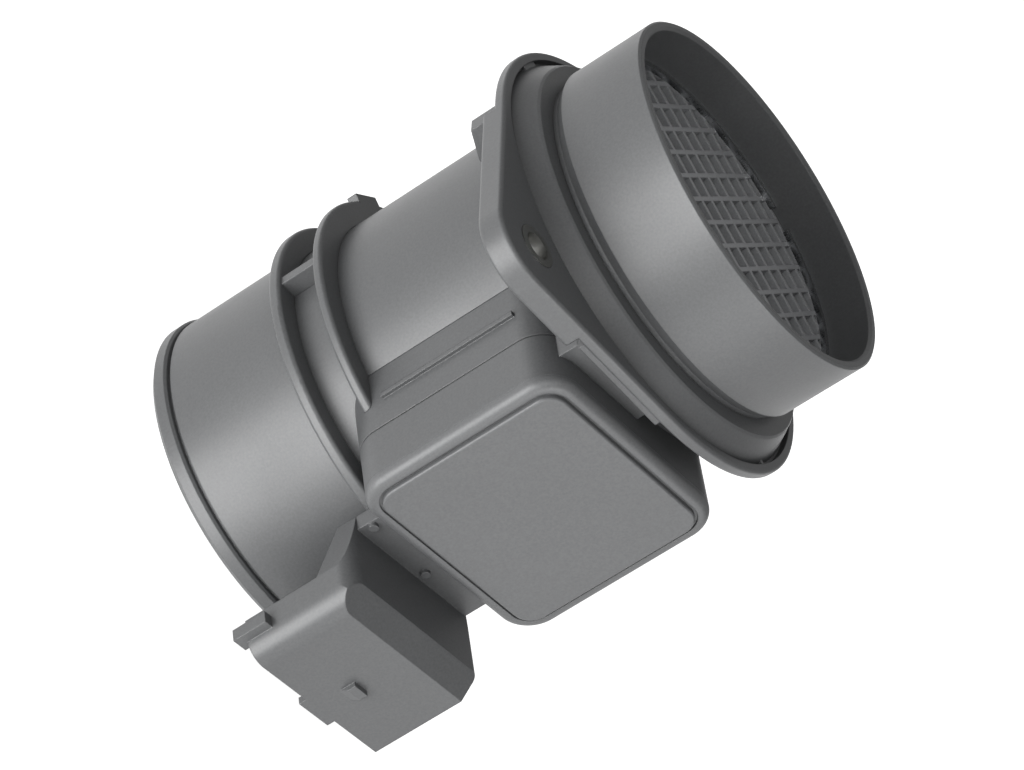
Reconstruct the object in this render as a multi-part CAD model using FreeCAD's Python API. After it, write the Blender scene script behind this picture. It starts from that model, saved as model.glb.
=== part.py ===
import FreeCAD, Part
import math
import os

# Mass airflow sensor: a duct section with a flange, an inlet grid, an electronics case
# with a six-way connector, and a measuring probe that hangs in the air stream.
# Millimetres. +Z is the duct axis and points out of the inlet mouth. The part stands on
# its outlet end, at z = 0. The lid of the electronics case faces -Y.

# Duct tube: bores and walls
TUBE_LENGTH = 132.7
OUTLET_BORE_R = 39.8
THROAT_BORE_R = 37.8
MOUTH_BORE_R = 40.6
OUTLET_WALL = 2.7
THROAT_WALL = 3.0
MOUTH_WALL = 2.2
MOUTH_CHAMFER = 0.6
MOUTH_ROUNDING = 0.5
OUTLET_TAPER_START = 30.0
OUTLET_TAPER_LENGTH = 15.0
INLET_TAPER_LENGTH = 12.0
BEAD_RISE = 0.8
BEAD_HEIGHT = 4.3
BEAD_STEP = 1.1
BEAD_GROOVE_WIDTH = 0.8
BEAD_GROOVE_DEPTH = 0.7

# Two fins round the tube, with a few webs between them
DRUM_TOP_Z = 36.0
LOWER_FIN_THICKNESS = 3.0
UPPER_FIN_THICKNESS = 2.5
FIN_SPACING = 9.0
FIN_HEIGHT = 4.2
FIN_FLOOR_RISE = 0.4
FIN_WEB_ANGLES = (172.0, 100.0, 28.0)
FIN_WEB_THICKNESS = 2.4
FIN_WEB_DROP = 1.1
FIN_NUB_ANGLE = 122.0
FIN_NUB_RISE = 1.5
FIN_NUB_WIDTH = 9.0
EDGE_ROUNDING = 0.9

# Two-bolt flange, whose place is measured back from the inlet mouth
MOUTH_REACH = 28.2
FLANGE_THICKNESS = 3.0
FLANGE_CIRCLE_R = 52.2
FLANGE_LIP = 2.2
MOAT_DEPTH = 1.8
EAR_ANGLE = -145.0
EAR_REACH = 59.5
EAR_R = 12.0
EAR_PAD_THICKNESS = 3.0
EAR_PAD_STARTS = (55.5, 38.0)
STRIP_INSET = 2.6
STRIP_THICKNESS = 2.1
STRIP_X = (-30.0, -4.0)
STRIP_START_Y = -36.0
MOAT_RIB_DROP = 0.6
MOAT_RIBS = ((-50.0, 1.4), (139.0, 7.0))
GUSSET_ANGLES = (166.0, 62.0)
GUSSET_WIDTH = 4.0
GUSSET_HEIGHT = 8.0
GUSSET_REACH = 8.7
GUSSET_FOOT = 2.0
GUSSET_SLOPE_HEIGHT = 3.0

# Metal sleeves in the ears
SLEEVE_BORE_R = 3.3
SLEEVE_WALL = 1.7
SLEEVE_PROUD = 0.2

# Collar and groove between the flange and the mouth tube
COLLAR_RISE = 5.4
COLLAR_HEIGHT = 4.5
COLLAR_FLARE = 3.1
COLLAR_FOOT_HEIGHT = 0.5
COLLAR_CHAMFER = 0.5
COLLAR_GROOVE_DEPTH = 1.3
COLLAR_GROOVE_WIDTH = 2.2
MOUTH_STEP_CHAMFER = 1.0

# Inlet grid and the snap ring that holds it
GRID_SEAT_DEPTH = 15.1
GRID_SEAT_WIDTH = 1.6
GRID_SEAT_THICKNESS = 5.6
GRID_FRAME_HEIGHT = 3.0
GRID_FRAME_WIDTH = 1.1
GRID_PITCH = 5.8
GRID_BAR_WIDTH = 1.15
GRID_BAR_DEPTH = 1.8
GRID_ANGLE = 39.0
GRID_CLEARANCE = 0.15
SNAP_RING_HEIGHT = 1.2
SNAP_RING_WIDTH = 1.3
SNAP_RING_GAP = 6.0

# Electronics case, on the -Y side of the tube
CASE_MID_X = -4.0
CASE_WIDTH = 60.0
CASE_LENGTH = 53.2
CASE_FLANGE_GAP = 3.0
CASE_CORNER_R = 8.0
CASE_SEAT_RISE = 0.2
CASE_FLOOR = 2.5
CASE_WALL = 3.0
CASE_HEIGHT = 9.6
SKIRT_WALL = 1.4
SKIRT_HEIGHT = 2.0
SKIRT_GAP = 0.35
TUBE_GAP = 0.4
PEDESTAL_WALL = 3.0
PEDESTAL_DEPTH = 23.0
PEDESTAL_RIB_INSET = (11.2, 7.5)
PEDESTAL_RIB_DEPTH = 10.0
PEDESTAL_RIB_HEIGHT = 0.9
PEDESTAL_RIB_WIDTH = 1.1
PEDESTAL_LINK_RISE = 4.0
PEDESTAL_LINK_DEPTH = 5.0

# Lid
LID_RIM_THICKNESS = 2.8
LID_EDGE_R = 2.0
LID_PLATEAU_INSET = 3.4
LID_PLATEAU_RISE = 0.8
LID_PLATEAU_EDGE_R = 0.5
LID_LINE_WIDTH = 0.7
LID_LINE_DEPTH = 0.5

# Glue bead in the groove of the case rim
SEAL_WIDTH = 1.2
SEAL_DEPTH = 1.0

# Plug of the case in the tube wall, and its round-section seal
PLUG_X = -1.0
WINDOW_WIDTH = 16.0
WINDOW_LENGTH = 28.0
WINDOW_BOSS_WALL = 3.0
PLUG_CLEARANCE = 0.25
PLUG_DEPTH = 4.6
SEAL_SEAT_DEPTH = 0.9
O_RING_R = 0.9
O_RING_SIDE_GAP = 0.2

# Connector, opening towards the outlet end, and its neck to the case
CONNECTOR_WIDTH = 42.8
CONNECTOR_MID_X = -3.0
CONNECTOR_DEPTH = 10.0
CONNECTOR_LENGTH = 28.3
CONNECTOR_DROP = 10.4
CONNECTOR_CASE_GAP = 8.3
CONNECTOR_LEDGE = 5.0
CONNECTOR_SHOULDER = 4.0
CONNECTOR_BEVEL = 0.6
CONNECTOR_NEAR_BACK_R = 4.0
CONNECTOR_FAR_BACK_R = 1.5
CONNECTOR_EDGE_R = 5.0
WEB_THICKNESS = 5.0
WEB_FOOT = 4.0
SOCKET_WALL = 1.8
SOCKET_DEPTH = 16.8
SOCKET_CORNER_R = 3.0
NECK_WALL = 1.5
NECK_GAP = 0.25
SHELL_LIP_REACH = 1.9
LATCH_OFFSET = 2.5
LATCH_LIP_WIDTH = 9.6
LATCH_NUB_INSET = 8.9
LATCH_NUB_SIZE = 4.2
LATCH_NUB_HEIGHT = 1.3
SIDE_TAB_INSET = 4.1
SIDE_TAB_THICKNESS = 3.0
SIDE_TAB_LENGTH = 8.7
SIDE_TAB_REACH = 2.2
NECK_NUB_PLACES = ((-16.0, 3.2), (3.0, 2.2))
NECK_NUB_R = 1.1
NECK_NUB_HEIGHT = 0.9

# Terminals
TERMINAL_COUNT = 6
TERMINAL_PITCH = 5.6
TERMINAL_WIDTH = 2.4
TERMINAL_THICKNESS = 0.8
TERMINAL_RECESS = 6.8
TERMINAL_COVER = 2.6
TERMINAL_SHELF_MARGIN = 0.6
SHELF_HEIGHT = 1.3
SHELF_LENGTH = 5.3

# Base plate, ceramic board and what is soldered to it. Each place is measured from the
# board's corner at the lowest x and z; a negative x is measured back from its far edge.
PLATE_MARGIN = 0.6
PLATE_THICKNESS = 1.0
BOARD_MARGIN = 3.0
BOARD_START = 0.8
BOARD_THICKNESS = 0.8
CHIP_SIZE = (10.0, 10.0, 1.6)
CHIP_PLACE = (13.4, 24.0)
TRANSISTOR_SIZE = (6.5, 9.0, 2.2)
TRANSISTOR_PLACE = (-5.4, 28.0)
CAPACITOR_SIZE = (3.2, 1.8, 1.5)
CAPACITOR_COUNT = 4
CAPACITOR_PITCH = 4.6
CAPACITOR_PLACE = (5.4, 6.5)
RESISTOR_SIZE = (1.6, 3.0, 0.6)
RESISTOR_COUNT = 5
RESISTOR_PITCH = -3.4
RESISTOR_PLACE = (-1.8, 8.0)
GEL_DEPTH = 3.0
BOND_WIDTH = 0.8
BOND_THICKNESS = 0.2
BOND_FOOT = 0.6
BOND_RISE = 0.7
BOND_REACH = 1.0

# Probe in the duct: bypass housing, its cover, and the sensing tongue
PROBE_WIDTH = 11.0
PROBE_LENGTH = 24.0
PROBE_REACH = 40.4
PROBE_NOSE_R = 4.0
CHANNEL_FLOOR = 2.0
CHANNEL_HEIGHT = 10.0
CHANNEL_TURN_INSET = 3.0
CHANNEL_TURN_WIDTH = 6.0
CHANNEL_EXIT_HEIGHT = 7.0
CHANNEL_STEP = 15.0
COVER_THICKNESS = 1.6
TONGUE_THICKNESS = 0.8
TONGUE_WIDTH = 6.0
TONGUE_TIP_GAP = 2.5
TONGUE_OFFSET_Z = 3.1
TONGUE_SLOT_GAP = 0.2
FILM_SIZE = (2.4, 4.0, 0.3)
FILM_INSET = 3.1
THERMISTOR_SIZE = (1.6, 1.2, 0.6)
THERMISTOR_INSET = 6.1

# What follows is worked out from the sizes above
OVER = 5.0
BITE = 1.0
MID_TUBE_R = THROAT_BORE_R + THROAT_WALL
DRUM_R = OUTLET_BORE_R + OUTLET_WALL
MOUTH_OUTER_R = MOUTH_BORE_R + MOUTH_WALL
BEAD_R = DRUM_R + BEAD_RISE
FIN_R = DRUM_R + FIN_HEIGHT
FIN_FLOOR_R = MID_TUBE_R + FIN_FLOOR_RISE
LOWER_FIN_Z = (DRUM_TOP_Z, DRUM_TOP_Z + LOWER_FIN_THICKNESS)
UPPER_FIN_START = LOWER_FIN_Z[1] + FIN_SPACING
UPPER_FIN_Z = (UPPER_FIN_START, UPPER_FIN_START + UPPER_FIN_THICKNESS)
FLANGE_FRONT_Z = TUBE_LENGTH - MOUTH_REACH
FLANGE_BACK_Z = FLANGE_FRONT_Z - FLANGE_THICKNESS
EAR_BACK_Z = FLANGE_BACK_Z - EAR_PAD_THICKNESS
STRIP_BACK_Z = FLANGE_BACK_Z - STRIP_THICKNESS
MOAT_FLOOR_Z = FLANGE_FRONT_Z - MOAT_DEPTH
MOAT_OUTER_R = FLANGE_CIRCLE_R - FLANGE_LIP
COLLAR_R = MID_TUBE_R + COLLAR_RISE
COLLAR_TOP_Z = FLANGE_FRONT_Z + COLLAR_HEIGHT
COLLAR_GROOVE_R = MOUTH_OUTER_R - COLLAR_GROOVE_DEPTH
COLLAR_GROOVE_TOP_Z = COLLAR_TOP_Z + COLLAR_GROOVE_WIDTH
SLEEVE_R = SLEEVE_BORE_R + SLEEVE_WALL
GRID_SEAT_Z = TUBE_LENGTH - GRID_SEAT_DEPTH
GRID_SEAT_BORE_R = MOUTH_BORE_R - GRID_SEAT_WIDTH
FRAME_OUTER_R = MOUTH_BORE_R - GRID_CLEARANCE
FRAME_TOP_Z = GRID_SEAT_Z + GRID_FRAME_HEIGHT
CASE_TOP_Z = EAR_BACK_Z - CASE_FLANGE_GAP
CASE_X = (CASE_MID_X - CASE_WIDTH / 2, CASE_MID_X + CASE_WIDTH / 2)
CASE_Z = (CASE_TOP_Z - CASE_LENGTH, CASE_TOP_Z)
CASE_SEAT_Y = -MID_TUBE_R - CASE_SEAT_RISE
CASE_INNER_Y = CASE_SEAT_Y - CASE_FLOOR
CASE_RIM_Y = CASE_SEAT_Y - CASE_HEIGHT
PLUG_Z = (CASE_Z[0] + CASE_Z[1]) / 2
PLUG_END_Y = CASE_SEAT_Y + PLUG_DEPTH
SEAL_SEAT_START_Y = CASE_SEAT_Y + SEAL_SEAT_DEPTH
SEAL_SEAT_Y = (SEAL_SEAT_START_Y, SEAL_SEAT_START_Y + 2 * (O_RING_R + O_RING_SIDE_GAP))
SHELF_TOP_Y = CASE_INNER_Y - SHELF_HEIGHT
SHELF_END_Z = CASE_Z[0] + CASE_WALL + SHELF_LENGTH
TERMINAL_END_Z = SHELF_END_Z - TERMINAL_SHELF_MARGIN
PLATE_TOP_Y = CASE_INNER_Y - PLATE_THICKNESS
BOARD_TOP_Y = PLATE_TOP_Y - BOARD_THICKNESS
PLATE_START_Z = SHELF_END_Z + PLATE_MARGIN
BOARD_INSET = CASE_WALL + PLATE_MARGIN + BOARD_MARGIN
BOARD_X = (CASE_X[0] + BOARD_INSET, CASE_X[1] - BOARD_INSET)
BOARD_Z = (PLATE_START_Z + BOARD_START, CASE_Z[1] - BOARD_INSET)
NECK_Y = (SHELF_TOP_Y - TERMINAL_THICKNESS - NECK_WALL, SHELF_TOP_Y + NECK_WALL)
CONNECTOR_X = (CONNECTOR_MID_X - CONNECTOR_WIDTH / 2, CONNECTOR_MID_X + CONNECTOR_WIDTH / 2)
CONNECTOR_INNER_Y = NECK_Y[0] - CONNECTOR_DROP
CONNECTOR_FACE_Y = CONNECTOR_INNER_Y - CONNECTOR_DEPTH
CONNECTOR_BACK_Z = CASE_Z[0] - CONNECTOR_CASE_GAP
CONNECTOR_MOUTH_Z = CONNECTOR_BACK_Z - CONNECTOR_LENGTH
SOCKET_FLOOR_Z = CONNECTOR_MOUTH_Z + SOCKET_DEPTH
NECK_X = (CONNECTOR_X[0] + CONNECTOR_NEAR_BACK_R, CONNECTOR_X[1] - CONNECTOR_FAR_BACK_R)
TERMINAL_TURN_Z = CONNECTOR_BACK_Z - TERMINAL_COVER - TERMINAL_THICKNESS
PROBE_TIP_Y = PLUG_END_Y + PROBE_REACH
CHANNEL_Y = (PROBE_TIP_Y - CHANNEL_FLOOR - CHANNEL_HEIGHT, PROBE_TIP_Y - CHANNEL_FLOOR)
CHANNEL_TURN_Z = PLUG_Z - PROBE_LENGTH / 2 + CHANNEL_TURN_INSET
CHANNEL_EXIT_START_Y = CHANNEL_Y[1] - CHANNEL_STEP - CHANNEL_EXIT_HEIGHT
CHANNEL_EXIT_Y = (CHANNEL_EXIT_START_Y, CHANNEL_EXIT_START_Y + CHANNEL_EXIT_HEIGHT)
TONGUE_TIP_Y = CHANNEL_Y[1] - TONGUE_TIP_GAP
TONGUE_Z = PLUG_Z + TONGUE_OFFSET_Z


def box(x, y, z):
    """Return a block between two limits on each axis, given in any order."""
    low = FreeCAD.Vector(min(x), min(y), min(z))
    return Part.makeBox(abs(x[1] - x[0]), abs(y[1] - y[0]), abs(z[1] - z[0]), low)


def disc(radius, z, x=0.0, y=0.0):
    """Return an upright cylinder between two heights."""
    return Part.makeCylinder(radius, abs(z[1] - z[0]), FreeCAD.Vector(x, y, min(z)))


def turned(outline):
    """Return the solid that a closed outline of (radius, z) points sweeps round the axis."""
    points = [FreeCAD.Vector(radius, 0, z) for radius, z in outline]
    face = Part.Face(Part.makePolygon(points + [points[0]]))
    return face.revolve(FreeCAD.Vector(0, 0, 0), FreeCAD.Vector(0, 0, 1), 360)


def prism_along_x(outline, x):
    """Return a closed outline of (y, z) points drawn out between two x positions."""
    points = [FreeCAD.Vector(x[0], y, z) for y, z in outline]
    face = Part.Face(Part.makePolygon(points + [points[0]]))
    return face.extrude(FreeCAD.Vector(x[1] - x[0], 0, 0))


def rounded_block(x, z, y, radius):
    """Return a block whose four edges along Y are rounded."""
    block = box(x, y, z)
    upright = [edge for edge in block.Edges if abs(edge.tangentAt(edge.FirstParameter).y) > 0.99]
    return block.makeFillet(radius, upright)


def inset(limits, margin):
    """Return a pair of limits moved towards each other by a margin."""
    return (limits[0] + margin, limits[1] - margin)


def edges_at(shape, axis, value):
    """Return the edges that lie wholly in the plane where one coordinate has a value."""
    found = []
    for edge in shape.Edges:
        limits = edge.BoundBox
        low, high = getattr(limits, axis + "Min"), getattr(limits, axis + "Max")
        if abs(low - value) < 1e-4 and abs(high - value) < 1e-4:
            found.append(edge)
    return found


def turned_copy(shape, angle):
    """Return a copy of a shape turned about the duct axis."""
    copy = shape.copy()
    copy.rotate(FreeCAD.Vector(0, 0, 0), FreeCAD.Vector(0, 0, 1), angle)
    return copy


def polar(radius, angle, z):
    """Return the point at a radius and an angle in degrees."""
    turn = math.radians(angle)
    return FreeCAD.Vector(radius * math.cos(turn), radius * math.sin(turn), z)


def flange_outline(circle_r, ear_r, z):
    """Return the face between a central circle and two round ears, with straight sides."""
    spread = math.degrees(math.acos((circle_r - ear_r) / EAR_REACH))
    edges = []
    for side in (EAR_ANGLE, EAR_ANGLE + 180):
        centre = polar(EAR_REACH, side, 0)
        start, middle, end = [
            centre + polar(ear_r, side + turn, z) for turn in (-spread, 0, spread)
        ]
        edges.append(Part.makeLine(polar(circle_r, side - spread, z), start))
        edges.append(Part.Arc(start, middle, end).toShape())
        edges.append(Part.makeLine(end, polar(circle_r, side + spread, z)))
        flank = [polar(circle_r, side + turn, z) for turn in (spread, 90, 180 - spread)]
        edges.append(Part.Arc(*flank).toShape())
    return Part.Face(Part.Wire(edges))


def flange_prism(circle_r, ear_r, z):
    """Return the flange outline drawn out between two heights."""
    return flange_outline(circle_r, ear_r, z[0]).extrude(FreeCAD.Vector(0, 0, z[1] - z[0]))


def slot_block(width, length, y):
    """Return a block with round ends, long in z, centred on the plug."""
    x = (PLUG_X - width / 2, PLUG_X + width / 2)
    half = (length - width) / 2
    block = box(x, y, (PLUG_Z - half, PLUG_Z + half))
    for end in (PLUG_Z - half, PLUG_Z + half):
        start = FreeCAD.Vector(PLUG_X, min(y), end)
        axis = FreeCAD.Vector(0, 1, 0)
        block = block.fuse(Part.makeCylinder(width / 2, abs(y[1] - y[0]), start, axis))
    return block.removeSplitter()


def make_ear_pads():
    """Return the thick backs of the ears, each longer on one side than on the other."""
    pads = flange_prism(FLANGE_CIRCLE_R, EAR_R, (EAR_BACK_Z, FLANGE_BACK_Z + BITE))
    pads = pads.makeFillet(EDGE_ROUNDING, edges_at(pads, "Z", EAR_BACK_Z))
    reach = EAR_REACH + EAR_R
    short, long = EAR_PAD_STARTS
    across = (-reach, reach)
    height = (0, TUBE_LENGTH)
    keep = box((short, reach), across, height).fuse([
        box((long, reach), (-reach, 0), height),
        box((-reach, -short), across, height),
        box((-reach, -long), (0, reach), height),
    ])
    return pads.common(turned_copy(keep, EAR_ANGLE))


def make_flange_strip():
    """Return the low strip behind the flange, above the electronics case."""
    z = (STRIP_BACK_Z, FLANGE_BACK_Z + BITE)
    strip = flange_prism(FLANGE_CIRCLE_R - STRIP_INSET, EAR_R - STRIP_INSET, z)
    return strip.common(box(STRIP_X, (-FLANGE_CIRCLE_R, STRIP_START_Y), z))


def make_collar():
    """Return the collar that flares down from the mouth to the floor of the moat."""
    foot_r = COLLAR_R + COLLAR_FLARE
    foot_z = MOAT_FLOOR_Z - BITE
    root_r = MID_TUBE_R - BITE
    return turned([
        (root_r, foot_z),
        (foot_r, foot_z),
        (foot_r, MOAT_FLOOR_Z + COLLAR_FOOT_HEIGHT),
        (COLLAR_R, COLLAR_TOP_Z - COLLAR_CHAMFER),
        (COLLAR_R - COLLAR_CHAMFER, COLLAR_TOP_Z),
        (root_r, COLLAR_TOP_Z),
    ])


def make_flange():
    """Return the flange plate with its ears, the moat round the collar and the bolt holes."""
    flange = flange_prism(FLANGE_CIRCLE_R, EAR_R, (FLANGE_BACK_Z, FLANGE_FRONT_Z))
    edges = edges_at(flange, "Z", FLANGE_FRONT_Z) + edges_at(flange, "Z", FLANGE_BACK_Z)
    flange = flange.makeFillet(EDGE_ROUNDING, edges)
    flange = flange.fuse([make_ear_pads(), make_flange_strip()]).removeSplitter()
    flange = flange.cut(disc(MOAT_OUTER_R, (MOAT_FLOOR_Z, FLANGE_FRONT_Z + OVER)))
    rib_x = (MID_TUBE_R, MOAT_OUTER_R + BITE)
    rib_z = (MOAT_FLOOR_Z - BITE, FLANGE_FRONT_Z - MOAT_RIB_DROP)
    ribs = [
        turned_copy(box(rib_x, (-width / 2, width / 2), rib_z), angle)
        for angle, width in MOAT_RIBS
    ]
    flange = flange.fuse([make_collar()] + ribs + make_gussets())
    for side in (0, 180):
        place = polar(EAR_REACH, EAR_ANGLE + side, 0)
        flange = flange.cut(disc(SLEEVE_R, (0, TUBE_LENGTH), place.x, place.y))
    return flange.cut(make_tube_core()).removeSplitter()


def make_gussets():
    """Return the triangular gussets behind the flange."""
    root_r = MID_TUBE_R - BITE
    tip_r = MID_TUBE_R + GUSSET_REACH
    low_z = EAR_BACK_Z - GUSSET_HEIGHT
    high_z = FLANGE_BACK_Z + BITE
    outline = [
        (root_r, low_z),
        (MID_TUBE_R + GUSSET_FOOT, low_z),
        (tip_r, low_z + GUSSET_SLOPE_HEIGHT),
        (tip_r, high_z),
        (root_r, high_z),
    ]
    points = [FreeCAD.Vector(radius, -GUSSET_WIDTH / 2, z) for radius, z in outline]
    face = Part.Face(Part.makePolygon(points + [points[0]]))
    gusset = face.extrude(FreeCAD.Vector(0, GUSSET_WIDTH, 0))
    return [turned_copy(gusset, angle) for angle in GUSSET_ANGLES]


def make_pedestal_block():
    """Return the outer form of the pedestal."""
    seat_y = (CASE_SEAT_Y, CASE_SEAT_Y + PEDESTAL_DEPTH)
    return rounded_block(CASE_X, CASE_Z, seat_y, CASE_CORNER_R)


def make_fins():
    """Return the two fins, the webs between them and the nub, ending at the pedestal."""
    shapes = []
    for z in (LOWER_FIN_Z, UPPER_FIN_Z):
        fin = disc(FIN_R, z)
        edges = edges_at(fin, "Z", z[0]) + edges_at(fin, "Z", z[1])
        shapes.append(fin.makeFillet(EDGE_ROUNDING, edges))
    half = FIN_WEB_THICKNESS / 2
    web_x = (MID_TUBE_R - BITE, FIN_R - FIN_WEB_DROP)
    web = box(web_x, (-half, half), (LOWER_FIN_Z[0] + BITE, UPPER_FIN_Z[1] - BITE))
    shapes.extend(turned_copy(web, angle) for angle in FIN_WEB_ANGLES)
    nub_x = (FIN_FLOOR_R, FIN_R + FIN_NUB_RISE)
    nub = box(nub_x, (-FIN_NUB_WIDTH / 2, FIN_NUB_WIDTH / 2), UPPER_FIN_Z)
    shapes.append(turned_copy(nub, FIN_NUB_ANGLE))
    fins = shapes[0].fuse(shapes[1:])
    taken = [make_tube_core(), make_case_recess(), make_pedestal_block()]
    return fins.cut(taken).removeSplitter()


def make_tube_core():
    """Return the turned outside of the tube, still without its bore."""
    half_step = BEAD_STEP / 2
    outline = [
        (0, 0),
        (BEAD_R - BEAD_STEP, 0),
        (BEAD_R, BEAD_STEP),
        (BEAD_R, BEAD_HEIGHT - half_step),
        (BEAD_R - half_step, BEAD_HEIGHT),
        (DRUM_R - BEAD_GROOVE_DEPTH, BEAD_HEIGHT),
        (DRUM_R - BEAD_GROOVE_DEPTH, BEAD_HEIGHT + BEAD_GROOVE_WIDTH),
        (DRUM_R, BEAD_HEIGHT + BEAD_GROOVE_WIDTH),
        (DRUM_R, DRUM_TOP_Z),
        (FIN_FLOOR_R, LOWER_FIN_Z[1]),
        (FIN_FLOOR_R, UPPER_FIN_Z[0]),
        (MID_TUBE_R, UPPER_FIN_Z[1]),
        (MID_TUBE_R, COLLAR_TOP_Z),
        (COLLAR_GROOVE_R, COLLAR_TOP_Z),
        (COLLAR_GROOVE_R, COLLAR_GROOVE_TOP_Z - MOUTH_STEP_CHAMFER),
        (MOUTH_OUTER_R, COLLAR_GROOVE_TOP_Z + MOUTH_STEP_CHAMFER),
        (MOUTH_OUTER_R, TUBE_LENGTH - MOUTH_ROUNDING),
        (MOUTH_OUTER_R - MOUTH_ROUNDING, TUBE_LENGTH),
        (0, TUBE_LENGTH),
    ]
    return turned(outline)


def make_bore():
    """Return the air passage: wide at both ends, narrow at the probe, with a grid seat."""
    inlet_taper_end = GRID_SEAT_Z - GRID_SEAT_THICKNESS
    return turned([
        (0, -OVER),
        (OUTLET_BORE_R, -OVER),
        (OUTLET_BORE_R, OUTLET_TAPER_START),
        (THROAT_BORE_R, OUTLET_TAPER_START + OUTLET_TAPER_LENGTH),
        (THROAT_BORE_R, inlet_taper_end - INLET_TAPER_LENGTH),
        (GRID_SEAT_BORE_R, inlet_taper_end),
        (GRID_SEAT_BORE_R, GRID_SEAT_Z),
        (MOUTH_BORE_R, GRID_SEAT_Z),
        (MOUTH_BORE_R, TUBE_LENGTH - MOUTH_CHAMFER),
        (MOUTH_BORE_R + MOUTH_CHAMFER + OVER, TUBE_LENGTH + OVER),
        (0, TUBE_LENGTH + OVER),
    ])


def make_skirt(height):
    """Return the thin band by which the case overlaps the pedestal, clear of the tube."""
    y = (CASE_SEAT_Y, CASE_SEAT_Y + height)
    outer = rounded_block(CASE_X, CASE_Z, y, CASE_CORNER_R)
    room = rounded_block(
        inset(CASE_X, SKIRT_WALL), inset(CASE_Z, SKIRT_WALL), y, CASE_CORNER_R - SKIRT_WALL)
    return outer.cut([room, disc(FIN_FLOOR_R + TUBE_GAP, (0, TUBE_LENGTH))])


def make_case_recess():
    """Return the space that the case, its skirt and the connector's neck take."""
    case = rounded_block(CASE_X, CASE_Z, (CASE_SEAT_Y, CONNECTOR_FACE_Y), CASE_CORNER_R)
    notch_x = (NECK_X[0] - NECK_GAP, NECK_X[1] + NECK_GAP)
    notch_z = (CONNECTOR_BACK_Z - OVER, CASE_Z[0])
    notch = box(notch_x, (CONNECTOR_FACE_Y, NECK_Y[1] + NECK_GAP), notch_z)
    return case.fuse([make_skirt(SKIRT_HEIGHT + SKIRT_GAP), notch])


def make_window():
    """Return the hole in the tube wall that the case's plug goes through."""
    return slot_block(WINDOW_WIDTH, WINDOW_LENGTH, (CASE_SEAT_Y - BITE, -THROAT_BORE_R / 2))


def make_pedestal():
    """Return the walled seat for the electronics case, its boss and the link to the flange."""
    room = rounded_block(
        inset(CASE_X, PEDESTAL_WALL), inset(CASE_Z, PEDESTAL_WALL),
        (CASE_SEAT_Y, CASE_SEAT_Y + PEDESTAL_DEPTH), CASE_CORNER_R - PEDESTAL_WALL)
    boss_size = 2 * WINDOW_BOSS_WALL
    boss = slot_block(WINDOW_WIDTH + boss_size, WINDOW_LENGTH + boss_size,
                      (CASE_SEAT_Y, -THROAT_BORE_R / 2))
    rib_mid_y = CASE_SEAT_Y + PEDESTAL_RIB_DEPTH
    rib_y = (rib_mid_y - PEDESTAL_RIB_WIDTH / 2, rib_mid_y + PEDESTAL_RIB_WIDTH / 2)
    rib_z = (CASE_Z[0] + PEDESTAL_RIB_INSET[0], CASE_Z[1] - PEDESTAL_RIB_INSET[1])
    rib = box((CASE_X[0] - PEDESTAL_RIB_HEIGHT, CASE_X[0] + BITE), rib_y, rib_z)
    link_y = (CASE_SEAT_Y - PEDESTAL_LINK_RISE, CASE_SEAT_Y + PEDESTAL_LINK_DEPTH)
    link = box(STRIP_X, link_y, (CASE_Z[1] - PEDESTAL_WALL, STRIP_BACK_Z))
    pedestal = make_pedestal_block().cut(room).fuse([boss, rib, link])
    return pedestal.cut([make_tube_core(), make_case_recess(), make_window()]).removeSplitter()


def make_tube_body():
    """Return the round tube from the outlet end to the top of the collar."""
    tube = make_tube_core().common(disc(FIN_R, (0, COLLAR_TOP_Z)))
    return tube.cut([make_bore(), make_window(), make_case_recess()])


def make_inlet_mouth():
    """Return the mouth tube above the collar, with the seat of the grid."""
    mouth = make_tube_core().common(disc(FIN_R, (COLLAR_TOP_Z, TUBE_LENGTH)))
    return mouth.cut(make_bore())


def make_inlet_grid():
    """Return the square mesh and its round frame."""
    frame_inner_r = FRAME_OUTER_R - GRID_FRAME_WIDTH
    frame_z = (GRID_SEAT_Z, FRAME_TOP_Z)
    frame = disc(FRAME_OUTER_R, frame_z).cut(disc(frame_inner_r, frame_z))
    bar_z = (FRAME_TOP_Z - GRID_BAR_DEPTH, FRAME_TOP_Z)
    steps = int(FRAME_OUTER_R // GRID_PITCH)
    bars = []
    for step in range(-steps, steps + 1):
        middle = step * GRID_PITCH
        across = (middle - GRID_BAR_WIDTH / 2, middle + GRID_BAR_WIDTH / 2)
        along = (-FRAME_OUTER_R, FRAME_OUTER_R)
        bars.append(box(along, across, bar_z))
        bars.append(box(across, along, bar_z))
    mesh = bars[0].fuse(bars[1:]).common(disc(frame_inner_r + GRID_FRAME_WIDTH / 2, bar_z))
    return turned_copy(frame.fuse(mesh).removeSplitter(), GRID_ANGLE)


def make_snap_ring():
    """Return the open ring that holds the grid on its seat."""
    z = (FRAME_TOP_Z, FRAME_TOP_Z + SNAP_RING_HEIGHT)
    ring = disc(MOUTH_BORE_R, z).cut(disc(MOUTH_BORE_R - SNAP_RING_WIDTH, z))
    gap = box((0, MOUTH_BORE_R + OVER), (-SNAP_RING_GAP / 2, SNAP_RING_GAP / 2), z)
    return ring.cut(turned_copy(gap, GRID_ANGLE))


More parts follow.
